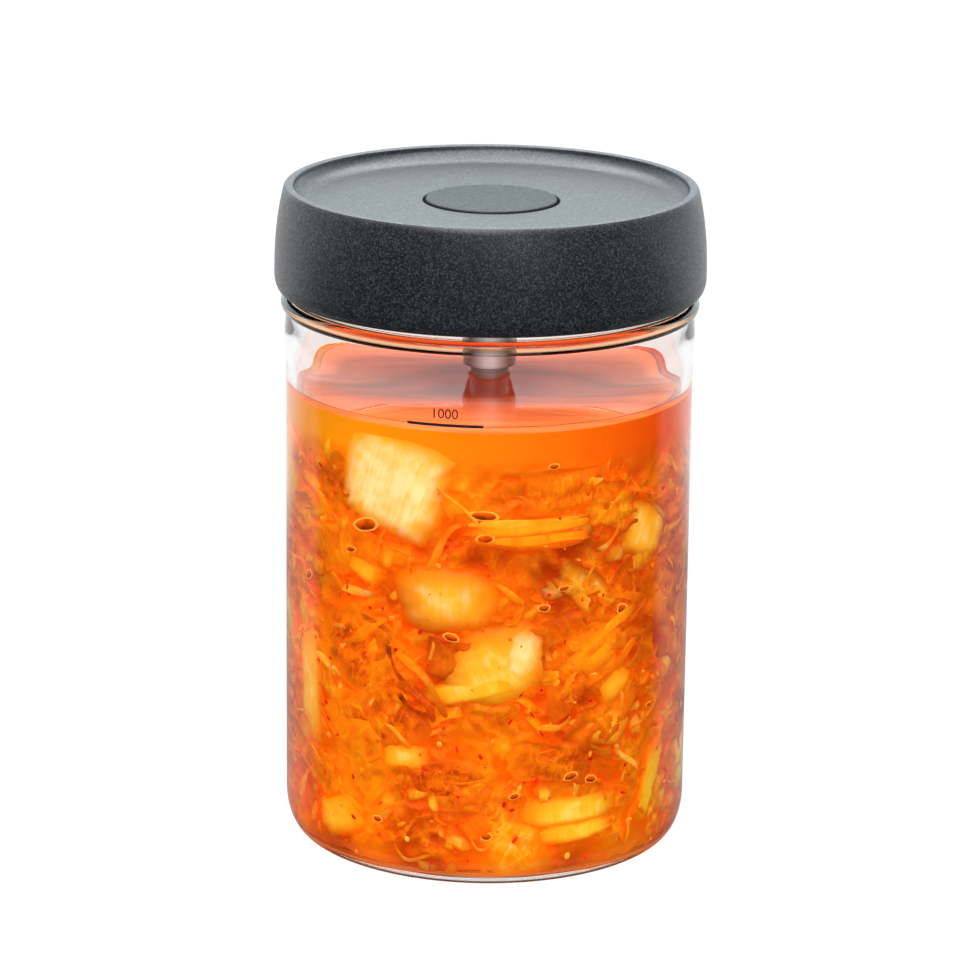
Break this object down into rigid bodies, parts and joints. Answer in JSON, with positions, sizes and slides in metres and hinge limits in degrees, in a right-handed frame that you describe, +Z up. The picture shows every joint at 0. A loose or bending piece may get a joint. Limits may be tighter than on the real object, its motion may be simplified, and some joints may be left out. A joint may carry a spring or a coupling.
{
  "type": "fermentation jar",
  "caption": "Straight glass fermentation jar filled with pickled cabbage, closed by a dark plastic cap with a round button and a steel valve stem.",
  "frame": {"origin": "middle of the base, on the surface that the jar stands on", "axes": "+Z up along the jar's axis; -Y is the front, where the fill mark is printed; +X is to the right seen from the front"},
  "size_m": [0.1138, 0.1138, 0.1764],
  "materials": {
    "glass": "clear, polished",
    "cap_plastic": "anthracite, fine satin grain",
    "steel": "turned, satin",
    "food": "wet, orange to pale yellow",
    "brine": "clear orange liquid",
    "print": "black print"
  },
  "bodies": {
    "root": {"glass_jar": "glass", "cap": "cap_plastic", "cap_button": "cap_plastic", "valve_stem": "steel", "cabbage": "food"}
  },
  "joints": []
}
